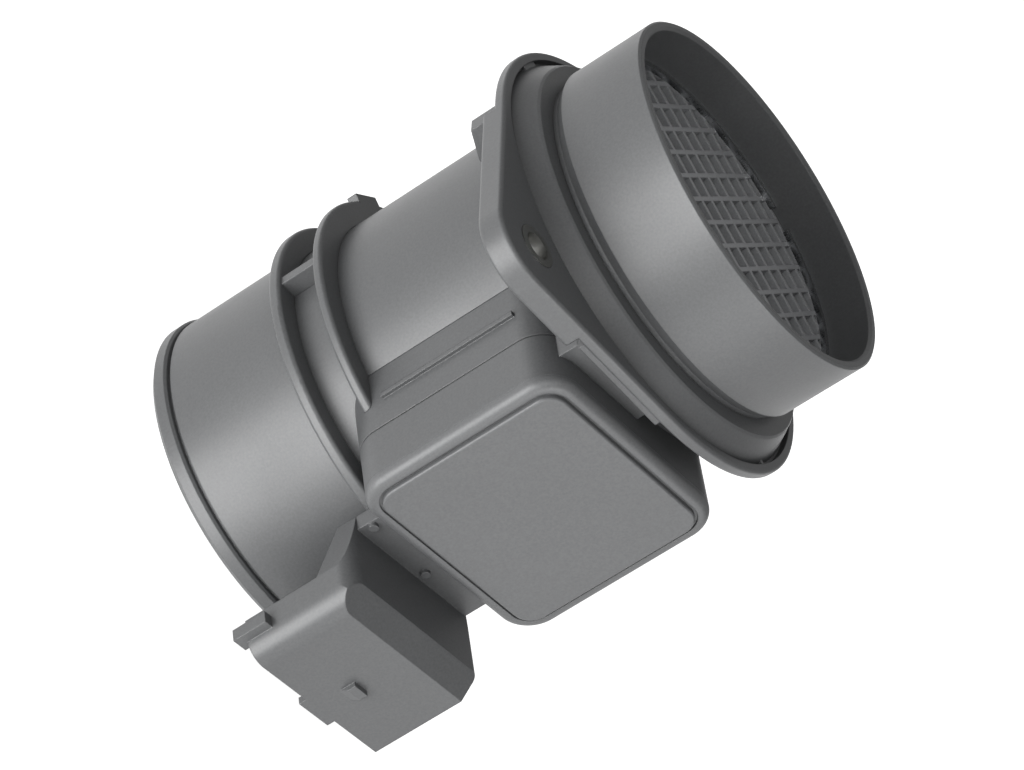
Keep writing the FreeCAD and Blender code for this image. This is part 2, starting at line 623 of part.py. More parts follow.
def make_web_plan():
    """Return the connector's outline seen along the duct: the web narrows to the neck."""
    outline = [
        (CONNECTOR_X[0], CONNECTOR_FACE_Y),
        (CONNECTOR_X[0], CONNECTOR_INNER_Y),
        (NECK_X[0], NECK_Y[1]),
        (NECK_X[1], NECK_Y[1]),
        (CONNECTOR_X[1], CONNECTOR_INNER_Y),
        (CONNECTOR_X[1], CONNECTOR_FACE_Y),
    ]
    points = [FreeCAD.Vector(x, y, CONNECTOR_MOUTH_Z) for x, y in outline]
    face = Part.Face(Part.makePolygon(points + [points[0]]))
    return face.extrude(FreeCAD.Vector(0, 0, CONNECTOR_LENGTH))


def make_shell_profile():
    """Return the plain body of the connector: shell, sloped shoulder and web to the neck."""
    shoulder_y = CONNECTOR_FACE_Y + CONNECTOR_SHOULDER
    web_z = CONNECTOR_BACK_Z - WEB_THICKNESS
    body = prism_along_x([
        (CONNECTOR_FACE_Y, CONNECTOR_MOUTH_Z),
        (CONNECTOR_FACE_Y, CONNECTOR_BACK_Z - CONNECTOR_LEDGE),
        (shoulder_y, CONNECTOR_BACK_Z - CONNECTOR_BEVEL),
        (shoulder_y + CONNECTOR_BEVEL, CONNECTOR_BACK_Z),
        (NECK_Y[1], CONNECTOR_BACK_Z),
        (NECK_Y[1], web_z),
        (CONNECTOR_INNER_Y, web_z - WEB_FOOT),
        (CONNECTOR_INNER_Y, CONNECTOR_MOUTH_Z),
    ], CONNECTOR_X)
    length = CONNECTOR_LENGTH - CONNECTOR_LEDGE
    near = [
        edge for edge in edges_at(body, "Y", CONNECTOR_FACE_Y)
        if abs(edge.BoundBox.ZLength - length) < 1e-4 and edge.BoundBox.XMin < CONNECTOR_MID_X
    ]
    body = body.makeFillet(CONNECTOR_EDGE_R, near)
    y = (CONNECTOR_FACE_Y, 0)
    z = (CONNECTOR_MOUTH_Z - CONNECTOR_LENGTH, CONNECTOR_BACK_Z)
    near_x = (CONNECTOR_X[0], CONNECTOR_X[1] + CONNECTOR_WIDTH)
    far_x = (CONNECTOR_X[0] - CONNECTOR_WIDTH, CONNECTOR_X[1])
    body = body.common(rounded_block(near_x, z, y, CONNECTOR_NEAR_BACK_R))
    body = body.common(rounded_block(far_x, z, y, CONNECTOR_FAR_BACK_R))
    return body.common(make_web_plan()).cut(disc(DRUM_R + TUBE_GAP, (-OVER, CASE_Z[0])))


def make_socket_room():
    """Return the space inside the connector shell, open at the mouth."""
    x = inset(CONNECTOR_X, SOCKET_WALL)
    y = inset((CONNECTOR_FACE_Y, CONNECTOR_INNER_Y), SOCKET_WALL)
    room = box(x, y, (CONNECTOR_MOUTH_Z - OVER, SOCKET_FLOOR_Z))
    upright = [edge for edge in room.Edges if abs(edge.tangentAt(edge.FirstParameter).z) > 0.99]
    return room.makeFillet(SOCKET_CORNER_R, upright)


def make_connector(terminals):
    """Return the connector with its latch, side tab and neck, round the terminals."""
    latch_x = CONNECTOR_MID_X + LATCH_OFFSET
    lip_x = (latch_x - LATCH_LIP_WIDTH / 2, latch_x + LATCH_LIP_WIDTH / 2)
    lip_y = (CONNECTOR_FACE_Y, CONNECTOR_FACE_Y + SOCKET_WALL)
    lip_z = CONNECTOR_MOUTH_Z - SHELL_LIP_REACH
    lip = box(lip_x, lip_y, (lip_z, CONNECTOR_MOUTH_Z + BITE))
    tab_x = (CONNECTOR_X[0] - SIDE_TAB_REACH, CONNECTOR_X[0] + SOCKET_WALL)
    tab_start_y = CONNECTOR_FACE_Y + SIDE_TAB_INSET
    tab_y = (tab_start_y, tab_start_y + SIDE_TAB_THICKNESS)
    tab = box(tab_x, tab_y, (lip_z, lip_z + SIDE_TAB_LENGTH))
    half = LATCH_NUB_SIZE / 2
    nub_z = CONNECTOR_MOUTH_Z + LATCH_NUB_INSET
    nub = prism_along_x([
        (CONNECTOR_FACE_Y + BITE, nub_z - half),
        (CONNECTOR_FACE_Y, nub_z - half),
        (CONNECTOR_FACE_Y - LATCH_NUB_HEIGHT, nub_z),
        (CONNECTOR_FACE_Y - LATCH_NUB_HEIGHT, nub_z + half),
        (CONNECTOR_FACE_Y + BITE, nub_z + half),
    ], (latch_x - half, latch_x + half))
    neck = box(NECK_X, NECK_Y, (CONNECTOR_BACK_Z - BITE, CASE_Z[0]))
    neck_nubs = []
    for offset_x, offset_z in NECK_NUB_PLACES:
        x, z = CONNECTOR_MID_X + offset_x, CONNECTOR_BACK_Z + offset_z
        start = FreeCAD.Vector(x, NECK_Y[0] - NECK_NUB_HEIGHT, z)
        axis = FreeCAD.Vector(0, 1, 0)
        neck_nubs.append(Part.makeCylinder(NECK_NUB_R, NECK_NUB_HEIGHT + BITE, start, axis))
    connector = make_shell_profile().fuse([lip, tab, nub, neck] + neck_nubs).removeSplitter()
    return connector.cut([make_socket_room()] + terminals)


def terminal_places():
    """Return the x position of each terminal."""
    first = CONNECTOR_MID_X - TERMINAL_PITCH * (TERMINAL_COUNT - 1) / 2
    return [first + TERMINAL_PITCH * index for index in range(TERMINAL_COUNT)]


def make_terminals():
    """Return the bent flat terminals, from the socket to the shelf inside the case."""
    half = TERMINAL_THICKNESS / 2
    low_y = (CONNECTOR_FACE_Y + CONNECTOR_INNER_Y) / 2 - half
    high_y = SHELF_TOP_Y
    tip = CONNECTOR_MOUTH_Z + TERMINAL_RECESS
    turn = TERMINAL_TURN_Z
    outline = [
        (low_y, tip),
        (low_y + TERMINAL_THICKNESS, tip),
        (low_y + TERMINAL_THICKNESS, turn),
        (high_y, turn),
        (high_y, TERMINAL_END_Z),
        (high_y - TERMINAL_THICKNESS, TERMINAL_END_Z),
        (high_y - TERMINAL_THICKNESS, turn + TERMINAL_THICKNESS),
        (low_y, turn + TERMINAL_THICKNESS),
    ]
    side = TERMINAL_WIDTH / 2
    return [prism_along_x(outline, (x - side, x + side)) for x in terminal_places()]


def make_shelf():
    """Return the raised strip that the inner ends of the terminals lie on."""
    places = terminal_places()
    x = (places[0] - TERMINAL_WIDTH, places[-1] + TERMINAL_WIDTH)
    z = (CASE_Z[0] + CASE_WALL - BITE, SHELF_END_Z)
    return box(x, (SHELF_TOP_Y, CASE_INNER_Y + BITE), z)


def make_rim_loop(y, width):
    """Return a closed band in the middle of the case's rim."""
    outer = (CASE_WALL - width) / 2
    inner = (CASE_WALL + width) / 2
    band = rounded_block(inset(CASE_X, outer), inset(CASE_Z, outer), y, CASE_CORNER_R - outer)
    room = rounded_block(inset(CASE_X, inner), inset(CASE_Z, inner), y, CASE_CORNER_R - inner)
    return band.cut(room)


def make_case_room(y):
    """Return the space inside the case walls between two y positions."""
    radius = CASE_CORNER_R - CASE_WALL
    return rounded_block(inset(CASE_X, CASE_WALL), inset(CASE_Z, CASE_WALL), y, radius)


def make_plug():
    """Return the case's plug in the tube wall, with the seat of its seal."""
    width = WINDOW_WIDTH - 2 * PLUG_CLEARANCE
    length = WINDOW_LENGTH - 2 * PLUG_CLEARANCE
    plug = slot_block(width, length, (CASE_SEAT_Y - BITE, PLUG_END_Y))
    groove = slot_block(WINDOW_WIDTH, WINDOW_LENGTH, SEAL_SEAT_Y)
    depth = 4 * O_RING_R
    core = slot_block(WINDOW_WIDTH - depth, WINDOW_LENGTH - depth, SEAL_SEAT_Y)
    return plug.cut(groove.cut(core))


def make_tongue_room(y):
    """Return the slot that the sensing tongue passes through."""
    half = TONGUE_THICKNESS / 2 + TONGUE_SLOT_GAP
    side = TONGUE_WIDTH / 2 + TONGUE_SLOT_GAP
    return box((PLUG_X - half, PLUG_X + half), y, (TONGUE_Z - side, TONGUE_Z + side))


def make_electronics_case(terminals):
    """Return the moulded case with its skirt, plug and shelf, round the terminals."""
    tray = rounded_block(CASE_X, CASE_Z, (CASE_SEAT_Y, CASE_RIM_Y), CASE_CORNER_R)
    case = tray.fuse([make_skirt(SKIRT_HEIGHT), make_plug()])
    case = case.cut(make_case_room((CASE_INNER_Y, CASE_RIM_Y - OVER)))
    case = case.cut(make_rim_loop((CASE_RIM_Y, CASE_RIM_Y + SEAL_DEPTH), SEAL_WIDTH))
    case = case.fuse(make_shelf()).removeSplitter()
    case = case.cut(make_tongue_room((CASE_INNER_Y - BITE, PLUG_END_Y + BITE)))
    return case.cut(terminals)


def make_case_lid():
    """Return the lid: a rounded rim, a fine line and a slightly raised middle."""
    outer_y = CASE_RIM_Y - LID_RIM_THICKNESS
    rim = rounded_block(CASE_X, CASE_Z, (CASE_RIM_Y, outer_y), CASE_CORNER_R)
    rim = rim.makeFillet(LID_EDGE_R, edges_at(rim, "Y", outer_y))
    plateau_y = outer_y - LID_PLATEAU_RISE
    plateau = rounded_block(
        inset(CASE_X, LID_PLATEAU_INSET), inset(CASE_Z, LID_PLATEAU_INSET),
        (outer_y + LID_LINE_DEPTH, plateau_y), CASE_CORNER_R - LID_PLATEAU_INSET)
    plateau = plateau.makeFillet(LID_PLATEAU_EDGE_R, edges_at(plateau, "Y", plateau_y))
    line_inset = LID_PLATEAU_INSET - LID_LINE_WIDTH
    line = rounded_block(
        inset(CASE_X, line_inset), inset(CASE_Z, line_inset),
        (outer_y + LID_LINE_DEPTH, outer_y), CASE_CORNER_R - line_inset)
    return rim.cut(line).fuse(plateau).removeSplitter()


def make_o_ring():
    """Return the round-section seal that lies in the plug's groove."""
    reach = WINDOW_WIDTH / 2 - O_RING_R
    half = (WINDOW_LENGTH - WINDOW_WIDTH) / 2
    middle_y = (SEAL_SEAT_Y[0] + SEAL_SEAT_Y[1]) / 2
    pieces = []
    for side in (-1, 1):
        start = FreeCAD.Vector(PLUG_X + side * reach, middle_y, PLUG_Z - half)
        pieces.append(Part.makeCylinder(O_RING_R, 2 * half, start))
        end = FreeCAD.Vector(PLUG_X, middle_y, PLUG_Z + side * half)
        torus = Part.makeTorus(reach, O_RING_R, end, FreeCAD.Vector(0, 1, 0))
        keep_z = (PLUG_Z + side * half, PLUG_Z + side * (half + WINDOW_WIDTH))
        keep_x = (PLUG_X - WINDOW_WIDTH, PLUG_X + WINDOW_WIDTH)
        pieces.append(torus.common(box(keep_x, (CASE_SEAT_Y, PLUG_END_Y), keep_z)))
    return pieces[0].fuse(pieces[1:]).removeSplitter()


def make_base_plate():
    """Return the aluminium plate under the board, with a window for the tongue."""
    margin = CASE_WALL + PLATE_MARGIN
    z = (PLATE_START_Z, CASE_Z[1] - margin)
    plate = rounded_block(
        inset(CASE_X, margin), z, (CASE_INNER_Y, PLATE_TOP_Y), CASE_CORNER_R - margin)
    return plate.cut(make_tongue_room((CASE_INNER_Y + BITE, PLATE_TOP_Y - BITE)))


def make_board():
    """Return the ceramic board."""
    return box(BOARD_X, (PLATE_TOP_Y, BOARD_TOP_Y), BOARD_Z)


def on_board(size, place_x, place_z):
    """Return a block of a size (x, z, height) at a place on the board."""
    x = (BOARD_X[1] if place_x < 0 else BOARD_X[0]) + place_x
    z = BOARD_Z[0] + place_z
    half_x, half_z = size[0] / 2, size[1] / 2
    return box((x - half_x, x + half_x), (BOARD_TOP_Y, BOARD_TOP_Y - size[2]),
               (z - half_z, z + half_z))


def row_on_board(size, place, count, pitch):
    """Return a row of equal parts along x on the board."""
    return Part.makeCompound([
        on_board(size, place[0] + pitch * index, place[1]) for index in range(count)
    ])


def make_bond_ribbons():
    """Return the thin ribbons from the terminals to the board."""
    start_y = SHELF_TOP_Y - TERMINAL_THICKNESS
    top_y = start_y - BOND_RISE
    start_z = TERMINAL_END_Z - BOND_REACH
    end_z = BOARD_Z[0] + BOND_REACH
    under = [
        (start_y, start_z),
        (start_y, start_z + BOND_FOOT),
        (top_y, start_z + 2 * BOND_FOOT),
        (top_y, end_z - BOND_FOOT),
        (BOARD_TOP_Y, end_z),
        (BOARD_TOP_Y, end_z + BOND_FOOT),
    ]
    over = [(y - BOND_THICKNESS, z) for y, z in reversed(under)]
    half = BOND_WIDTH / 2
    ribbons = [prism_along_x(under + over, (x - half, x + half)) for x in terminal_places()]
    return Part.makeCompound(ribbons)


def make_gel(solids):
    """Return the soft gel that fills the case round what lies in it."""
    room = make_case_room((CASE_INNER_Y, BOARD_TOP_Y - GEL_DEPTH))
    return room.cut([make_shelf(), make_tongue_room((CASE_INNER_Y, PLATE_TOP_Y))] + solids)


def probe_block():
    """Return the outer form of the probe, with a rounded nose towards the inlet."""
    half = PROBE_WIDTH / 2
    z = (PLUG_Z - PROBE_LENGTH / 2, PLUG_Z + PROBE_LENGTH / 2)
    block = box((PLUG_X - half, PLUG_X + half), (PLUG_END_Y, PROBE_TIP_Y), z)
    nose = [
        edge for edge in edges_at(block, "Z", z[1])
        if edge.BoundBox.YLength > PROBE_WIDTH
    ]
    return block.makeFillet(PROBE_NOSE_R, nose)


def cover_room():
    """Return the slab on the probe's +X side that its cover takes."""
    side = PLUG_X + PROBE_WIDTH / 2
    y = (CHANNEL_EXIT_Y[0] - CHANNEL_FLOOR, PROBE_TIP_Y + BITE)
    z = (PLUG_Z - PROBE_LENGTH, PLUG_Z + PROBE_LENGTH)
    return box((side - COVER_THICKNESS, side + BITE), y, z)


def make_bypass_housing():
    """Return the probe body with its bent air channel, open on the cover's side."""
    side = PLUG_X + PROBE_WIDTH / 2
    x = (PLUG_X - PROBE_WIDTH / 2 + CHANNEL_FLOOR, side)
    ends = (PLUG_Z - PROBE_LENGTH, PLUG_Z + PROBE_LENGTH)
    turn_z = (CHANNEL_TURN_Z, CHANNEL_TURN_Z + CHANNEL_TURN_WIDTH)
    channels = [
        box(x, CHANNEL_Y, (turn_z[0], ends[1])),
        box(x, (CHANNEL_EXIT_Y[0], CHANNEL_Y[1]), turn_z),
        box(x, CHANNEL_EXIT_Y, (ends[0], turn_z[1])),
    ]
    body = probe_block().cut([cover_room()] + channels)
    return body.cut(make_tongue_room((PLUG_END_Y - BITE, CHANNEL_Y[0])))


def make_tongue():
    """Return the flat sensing tongue, from under the board into the air channel."""
    half = TONGUE_THICKNESS / 2
    side = TONGUE_WIDTH / 2
    return box((PLUG_X - half, PLUG_X + half), (PLATE_TOP_Y, TONGUE_TIP_Y),
               (TONGUE_Z - side, TONGUE_Z + side))


def on_tongue(size, distance):
    """Return a block of a size (z, y, height) on the tongue, at a distance from its tip."""
    face = PLUG_X + TONGUE_THICKNESS / 2
    y = TONGUE_TIP_Y - distance
    half_z, half_y = size[0] / 2, size[1] / 2
    return box((face, face + size[2]), (y - half_y, y + half_y),
               (TONGUE_Z - half_z, TONGUE_Z + half_z))


def make_sleeve(side):
    """Return the metal sleeve in the bolt hole of one ear."""
    place = polar(EAR_REACH, EAR_ANGLE + side, 0)
    z = (EAR_BACK_Z, FLANGE_FRONT_Z + SLEEVE_PROUD)
    return disc(SLEEVE_R, z, place.x, place.y).cut(disc(SLEEVE_BORE_R, z, place.x, place.y))


def make_all():
    """Return every piece by its node name."""
    terminals = make_terminals()
    board_parts = {
        "base_plate": make_base_plate(),
        "circuit_board": make_board(),
        "measuring_chip": on_board(CHIP_SIZE, *CHIP_PLACE),
        "power_transistor": on_board(TRANSISTOR_SIZE, *TRANSISTOR_PLACE),
        "capacitors": row_on_board(
            CAPACITOR_SIZE, CAPACITOR_PLACE, CAPACITOR_COUNT, CAPACITOR_PITCH),
        "resistors": row_on_board(
            RESISTOR_SIZE, RESISTOR_PLACE, RESISTOR_COUNT, RESISTOR_PITCH),
        "bond_ribbons": make_bond_ribbons(),
    }
    tongue = make_tongue()
    pieces = {
        "tube_body": make_tube_body(),
        "inlet_mouth": make_inlet_mouth(),
        "mounting_flange": make_flange(),
        "tube_fins": make_fins(),
        "case_pedestal": make_pedestal(),
        "inlet_grid": make_inlet_grid(),
        "grid_snap_ring": make_snap_ring(),
        "electronics_case": make_electronics_case(terminals),
        "connector_housing": make_connector(terminals),
        "case_lid": make_case_lid(),
        "lid_seal": make_rim_loop((CASE_RIM_Y, CASE_RIM_Y + SEAL_DEPTH), SEAL_WIDTH),
        "case_o_ring": make_o_ring(),
        "protective_gel": make_gel(list(board_parts.values()) + terminals),
        "bypass_housing": make_bypass_housing(),
        "bypass_cover": probe_block().common(cover_room()),
        "sensing_tongue": tongue,
        "hot_film": on_tongue(FILM_SIZE, FILM_INSET),
        "air_thermistor": on_tongue(THERMISTOR_SIZE, THERMISTOR_INSET),
        "flange_sleeve_near": make_sleeve(0),
        "flange_sleeve_far": make_sleeve(180),
    }
    pieces.update(board_parts)
    for index, terminal in enumerate(terminals):
        pieces["terminal_" + str(index + 1)] = terminal
    return pieces


def export(shapes):
    """Write each shape to its own STEP file."""
    os.makedirs("parts", exist_ok=True)
    for name, shape in shapes.items():
        shape.exportStep("parts/" + name + ".step")
        print(name, "solids", len(shape.Solids), "volume", round(shape.Volume, 1), shape.isValid())


if __name__ == "__main__":
    export(make_all())
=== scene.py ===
"""Looks of a mass airflow sensor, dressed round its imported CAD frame.

The CAD nodes keep their shapes and get finishes here, each named for its real material.
All lengths are in metres unless a name ends in _mm. The part stands on its outlet end and
+Z runs along the duct to the inlet mouth; the lid of the electronics case faces -Y.
"""

import logging
import math
from dataclasses import dataclass, field
from enum import Enum
from typing import Optional, Sequence, Union

import bpy
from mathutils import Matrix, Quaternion, Vector


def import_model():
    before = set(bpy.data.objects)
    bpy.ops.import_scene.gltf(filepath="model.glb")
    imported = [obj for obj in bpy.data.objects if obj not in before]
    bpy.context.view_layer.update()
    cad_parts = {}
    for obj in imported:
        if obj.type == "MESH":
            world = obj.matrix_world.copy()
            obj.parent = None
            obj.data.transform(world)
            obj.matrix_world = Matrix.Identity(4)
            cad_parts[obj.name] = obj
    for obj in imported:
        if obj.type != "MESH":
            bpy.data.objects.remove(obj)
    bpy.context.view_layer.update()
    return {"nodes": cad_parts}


LOG = logging.getLogger("airflow_sensor")
MM = 0.001
WHITE = (1, 1, 1, 1)
TERMINAL_COUNT = 6

# Input numbers of the Mix node's factor and colours, and of its colour output
FACTOR, COLOUR_A, COLOUR_B, COLOUR_OUT = 0, 6, 7, 2

# Input numbers of the Mix Shader node
FIRST_SHADER, SECOND_SHADER = 1, 2

Colour = tuple[float, float, float, float]


def linear(hex_colour: str) -> Colour:
    """Turn an sRGB hex colour into linear RGBA.

    Args:
        hex_colour: Six hex digits with a leading #.

    Returns:
        Red, green, blue and alpha, each from 0 to 1.
    """
    channels = [int(hex_colour[i:i + 2], 16) / 255 for i in (1, 3, 5)]
    red, green, blue = [
        c / 12.92 if c <= 0.04045 else ((c + 0.055) / 1.055) ** 2.4 for c in channels
    ]
    return (red, green, blue, 1.0)


def shaded(colour: Colour, share: float, lift: float = 0.0) -> Colour:
    """Make a colour darker or paler.

    Args:
        colour: Linear RGBA.
        share: What red, green and blue are multiplied by.
        lift: What is added to them afterwards.

    Returns:
        The new colour, opaque and at most white.
    """
    return tuple(min(1.0, c * share + lift) for c in colour[:3]) + (1.0,)


def per_metre(size_mm: float) -> float:
    """Return how many features of this size fit in a metre, which is a texture's scale."""
    return 1000 / size_mm


def add_node(
    tree: bpy.types.NodeTree,
    kind: str,
    settings: Optional[dict] = None,
    links: Optional[dict] = None,
) -> bpy.types.Node:
    """Add one shader node with its settings and its incoming links.

    Args:
        tree: The node tree that takes the node.
        kind: The node's type name.
        settings: Attribute or input names with their values; inputs may be index numbers.
        links: Input names or numbers with the output sockets that feed them.

    Returns:
        The new node.
    """
    node = tree.nodes.new(kind)
    for name, value in (settings or {}).items():
        if isinstance(name, str) and hasattr(node, name):
            setattr(node, name, value)
        else:
            node.inputs[name].default_value = value
    for name, socket in (links or {}).items():
        tree.links.new(socket, node.inputs[name])
    return node


@dataclass
class Blank:
    """A new material with its node tree, its shader and the place on the piece."""

    name: str
    material: bpy.types.Material = field(init=False)
    tree: bpy.types.NodeTree = field(init=False)
    shader: bpy.types.Node = field(init=False)
    place: bpy.types.NodeSocket = field(init=False)

    def __post_init__(self) -> None:
        """Create the material and look up what every finish needs of it."""
        self.material = bpy.data.materials.new(self.name)
        self.material.use_nodes = True
        self.tree = self.material.node_tree
        self.shader = self.tree.nodes["Principled BSDF"]
        self.place = add_node(self.tree, "ShaderNodeTexCoord").outputs["Object"]

    def feed(self, socket: bpy.types.NodeSocket, name: str) -> None:
        """Link an output to the shader's input of this name."""
        self.tree.links.new(socket, self.shader.inputs[name])


class Grain(Enum):
    """The surface textures that a mould leaves, by grain size in millimetres."""

    SPARK_ERODED = 0.55
    FINE = 0.35


@dataclass(frozen=True)
class MouldedPlastic:
    """Filled plastic as moulded: satin, finely grained, a little mottled."""

    name: str
    colour: str
    roughness: float = 0.42
    grain: Grain = Grain.SPARK_ERODED
    ior: float = 1.6
    mottle: float = 0.10
    speck: float = 0.12
    speck_range: tuple[float, float] = (0.3, 0.7)
    dull_range: tuple[float, float] = (0.25, 0.75)
    dull_spread: tuple[float, float] = (-0.05, 0.07)
    flow_size_mm: float = 30.0
    flow_detail: float = 4.0
    flow_roughness: float = 0.55
    grain_detail: float = 3.0
    grain_roughness: float = 0.6
    grain_depth_mm: float = 0.012
    grain_strength: float = 0.6
    edge_mm: float = 0.35
    edge_samples: int = 6

    def build(self) -> bpy.types.Material:
        """Build the material with grain, mottling, soft edges and dull patches.

        Returns:
            The finished material.
        """
        blank = Blank(self.name)
        tree = blank.tree
        base = linear(self.colour)

        # Fibre-rich skin varies slowly along the flow of the melt.
        flow = add_node(
            tree, "ShaderNodeTexNoise",
            {"Scale": per_metre(self.flow_size_mm), "Detail": self.flow_detail,
             "Roughness": self.flow_roughness},
            {"Vector": blank.place})
        # The grain is drawn a little coarser than real spark erosion so that it shows.
        grain = add_node(
            tree, "ShaderNodeTexNoise",
            {"Scale": per_metre(self.grain.value), "Detail": self.grain_detail,
             "Roughness": self.grain_roughness},
            {"Vector": blank.place})
        tone = add_node(
            tree, "ShaderNodeMix",
            {"data_type": "RGBA", COLOUR_A: shaded(base, 1 - self.mottle),
             COLOUR_B: shaded(base, 1 + self.mottle)},
            {FACTOR: flow.outputs["Fac"]})
        speck = add_node(
            tree, "ShaderNodeMapRange",
            {"From Min": self.speck_range[0], "From Max": self.speck_range[1],
             "To Min": 1 - self.speck, "To Max": 1 + self.speck},
            {"Value": grain.outputs["Fac"]})
        speckled = add_node(
            tree, "ShaderNodeMix",
            {"data_type": "RGBA", "blend_type": "MULTIPLY", FACTOR: 1.0},
            {COLOUR_A: tone.outputs[COLOUR_OUT], COLOUR_B: speck.outputs["Result"]})
        blank.feed(speckled.outputs[COLOUR_OUT], "Base Color")

        dull = add_node(
            tree, "ShaderNodeMapRange",
            {"From Min": self.dull_range[0], "From Max": self.dull_range[1],
             "To Min": self.roughness + self.dull_spread[0],
             "To Max": self.roughness + self.dull_spread[1]},
            {"Value": flow.outputs["Fac"]})
        blank.feed(dull.outputs["Result"], "Roughness")

        # A mould's edges are never sharp, so each edge catches a thin line of light.
        soft_edge = add_node(
            tree, "ShaderNodeBevel",
            {"samples": self.edge_samples, "Radius": self.edge_mm * MM})
        bump = add_node(
            tree, "ShaderNodeBump",
            {"Strength": self.grain_strength, "Distance": self.grain_depth_mm * MM},
            {"Height": grain.outputs["Fac"], "Normal": soft_edge.outputs["Normal"]})
        blank.feed(bump.outputs["Normal"], "Normal")
        blank.shader.inputs["IOR"].default_value = self.ior
        return blank.material


@dataclass(frozen=True)
class WorkedMetal:
    """Rolled, turned or drawn metal with fine tool lines and slight tarnish."""

    name: str
    colour: str
    roughness: float = 0.3
    rough_spread: tuple[float, float] = (-0.08, 0.12)
    line_mm: float = 0.25
    line_stretch: Sequence[float] = (1.0, 1.0, 12.0)
    line_detail: float = 2.0
    line_depth_mm: float = 0.01
    line_strength: float = 0.4
    tarnish_mm: float = 4.0
    tarnish_detail: float = 3.0
    tarnish_share: float = 0.82

    def build(self) -> bpy.types.Material:
        """Build the material with stretched tool lines.

        Returns:
            The finished material.
        """
        blank = Blank(self.name)
        tree = blank.tree
        # The lines run along one axis, so the gloss streaks the way the tool went.
        stretch = tuple(1.0 / s for s in self.line_stretch)
        mapped = add_node(
            tree, "ShaderNodeMapping", {"Scale": stretch}, {"Vector": blank.place})
        lines = add_node(
            tree, "ShaderNodeTexNoise",
            {"Scale": per_metre(self.line_mm), "Detail": self.line_detail},
            {"Vector": mapped.outputs["Vector"]})
        tarnish = add_node(
            tree, "ShaderNodeTexNoise",
            {"Scale": per_metre(self.tarnish_mm), "Detail": self.tarnish_detail},
            {"Vector": blank.place})
        base = linear(self.colour)
        tone = add_node(
            tree, "ShaderNodeMix",
            {"data_type": "RGBA", COLOUR_A: shaded(base, self.tarnish_share),
             COLOUR_B: base},
            {FACTOR: tarnish.outputs["Fac"]})
        blank.feed(tone.outputs[COLOUR_OUT], "Base Color")
        rough = add_node(
            tree, "ShaderNodeMapRange",
            {"To Min": self.roughness + self.rough_spread[0],
             "To Max": self.roughness + self.rough_spread[1]},
            {"Value": lines.outputs["Fac"]})
        blank.feed(rough.outputs["Result"], "Roughness")
        bump = add_node(
            tree, "ShaderNodeBump",
            {"Strength": self.line_strength, "Distance": self.line_depth_mm * MM},
            {"Height": lines.outputs["Fac"]})
        blank.feed(bump.outputs["Normal"], "Normal")
        blank.shader.inputs["Metallic"].default_value = 1.0
        return blank.material


@dataclass(frozen=True)
class SealRubber:
    """Silicone rubber or gel: soft sheen, faint bloom on the skin."""

    name: str
    colour: str
    roughness: float = 0.62
    rough_spread: float = 0.08
    bloom_mm: float = 2.5
    bloom_detail: float = 4.0
    bloom_share: float = 1.25
    bloom_lift: float = 0.004

    def build(self) -> bpy.types.Material:
        """Build the material with a cloudy bloom.

        Returns:
            The finished material.
        """
        blank = Blank(self.name)
        tree = blank.tree
        # Bloom dulls and greys the skin in soft clouds.
        bloom = add_node(
            tree, "ShaderNodeTexNoise",
            {"Scale": per_metre(self.bloom_mm), "Detail": self.bloom_detail},
            {"Vector": blank.place})
        base = linear(self.colour)
        tone = add_node(
            tree, "ShaderNodeMix",
            {"data_type": "RGBA", COLOUR_A: base,
             COLOUR_B: shaded(base, self.bloom_share, self.bloom_lift)},
            {FACTOR: bloom.outputs["Fac"]})
        blank.feed(tone.outputs[COLOUR_OUT], "Base Color")
        rough = add_node(
            tree, "ShaderNodeMapRange",
            {"To Min": self.roughness - self.rough_spread,
             "To Max": self.roughness + self.rough_spread},
            {"Value": bloom.outputs["Fac"]})
        blank.feed(rough.outputs["Result"], "Roughness")
        return blank.material


@dataclass(frozen=True)
class SinteredCeramic:
    """Fired ceramic or glass film: smooth, with fine pores a little darker than the rest."""

    name: str
    colour: str
    roughness: float = 0.38
    pore_mm: float = 0.3
    pore_share: float = 0.9
    pore_depth_mm: float = 0.004
    pore_strength: float = 0.3

    def build(self) -> bpy.types.Material:
        """Build the material with fine pores.

        Returns:
            The finished material.
        """
        blank = Blank(self.name)
        tree = blank.tree
        pores = add_node(
            tree, "ShaderNodeTexVoronoi", {"Scale": per_metre(self.pore_mm)},
            {"Vector": blank.place})
        base = linear(self.colour)
        tone = add_node(
            tree, "ShaderNodeMix",
            {"data_type": "RGBA", COLOUR_A: shaded(base, self.pore_share),
             COLOUR_B: base},
            {FACTOR: pores.outputs["Distance"]})
        blank.feed(tone.outputs[COLOUR_OUT], "Base Color")
        bump = add_node(
            tree, "ShaderNodeBump",
            {"Strength": self.pore_strength, "Distance": self.pore_depth_mm * MM},
            {"Height": pores.outputs["Distance"]})
        blank.feed(bump.outputs["Normal"], "Normal")
        blank.shader.inputs["Roughness"].default_value = self.roughness
        return blank.material


Finish = Union[MouldedPlastic, WorkedMetal, SealRubber, SinteredCeramic]

